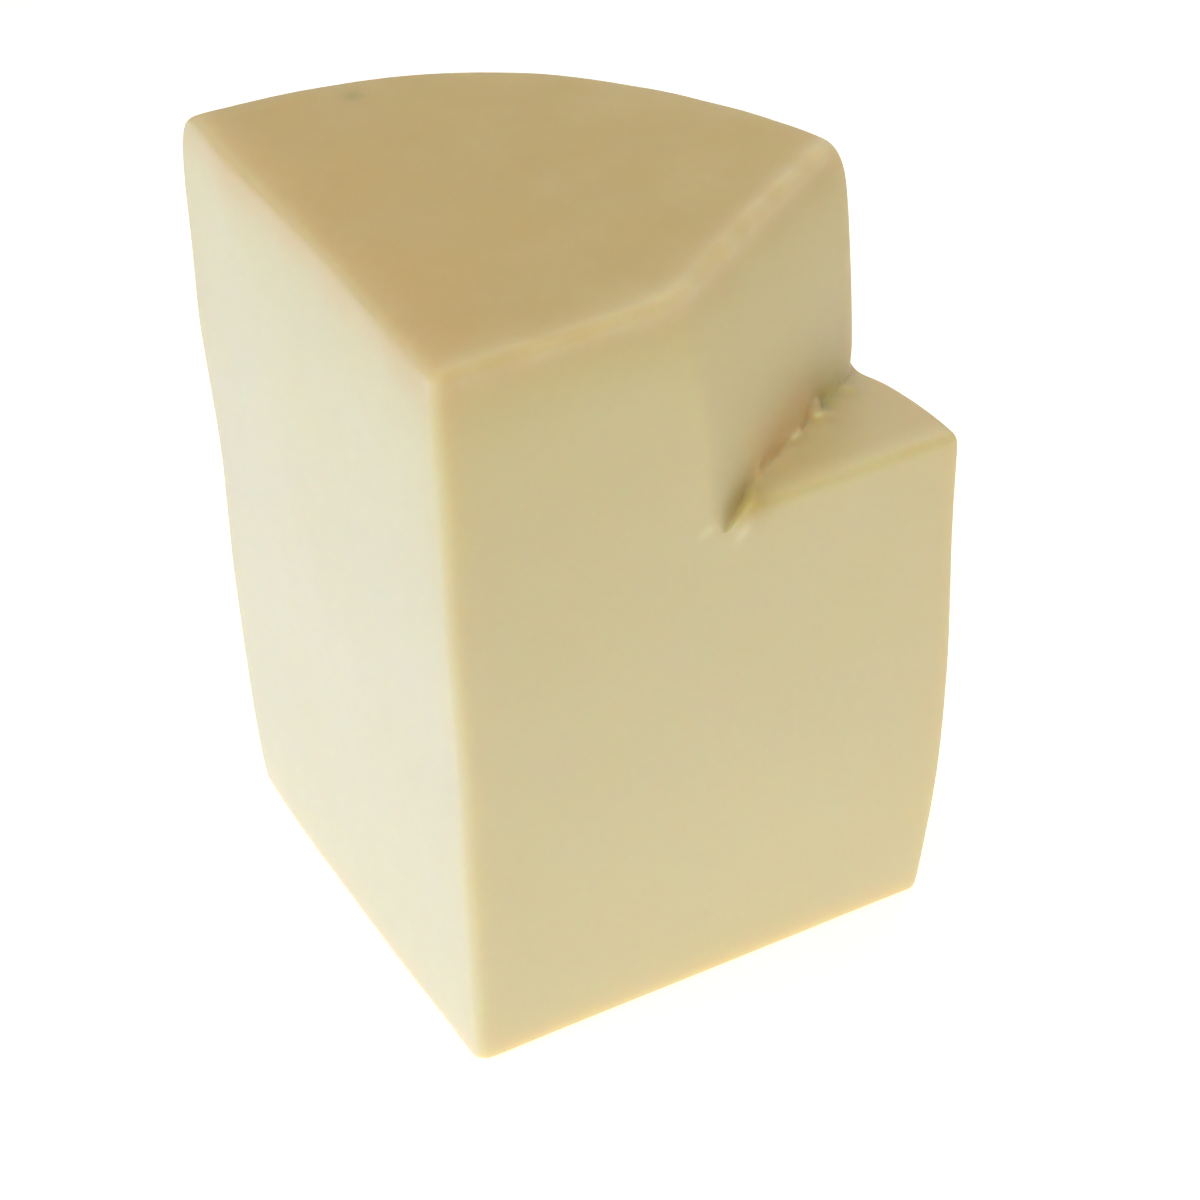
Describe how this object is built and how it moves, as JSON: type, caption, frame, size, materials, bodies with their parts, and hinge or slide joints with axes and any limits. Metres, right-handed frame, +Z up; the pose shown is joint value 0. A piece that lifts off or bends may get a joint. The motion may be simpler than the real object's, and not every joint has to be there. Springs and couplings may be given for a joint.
{
  "type": "cheese wedge",
  "caption": "Upright quarter of a tall drum of pale hard cheese, with a smaller piece cut out of one upper corner.",
  "frame": {"origin": "middle of the base's bounding box, on the surface the wedge stands on", "axes": "+Z up the drum's axis, -Y from the rind towards the wedge's tip, +X towards the cut face that has the notch"},
  "size_m": [0.2352, 0.167, 0.2507],
  "materials": {
    "cheese": "pale cream hard cheese, smooth and slightly waxy where it was cut, a little more tan on the rind; light scatters below its surface"
  },
  "bodies": {
    "root": {"cheese_wedge": "cheese"}
  },
  "joints": []
}
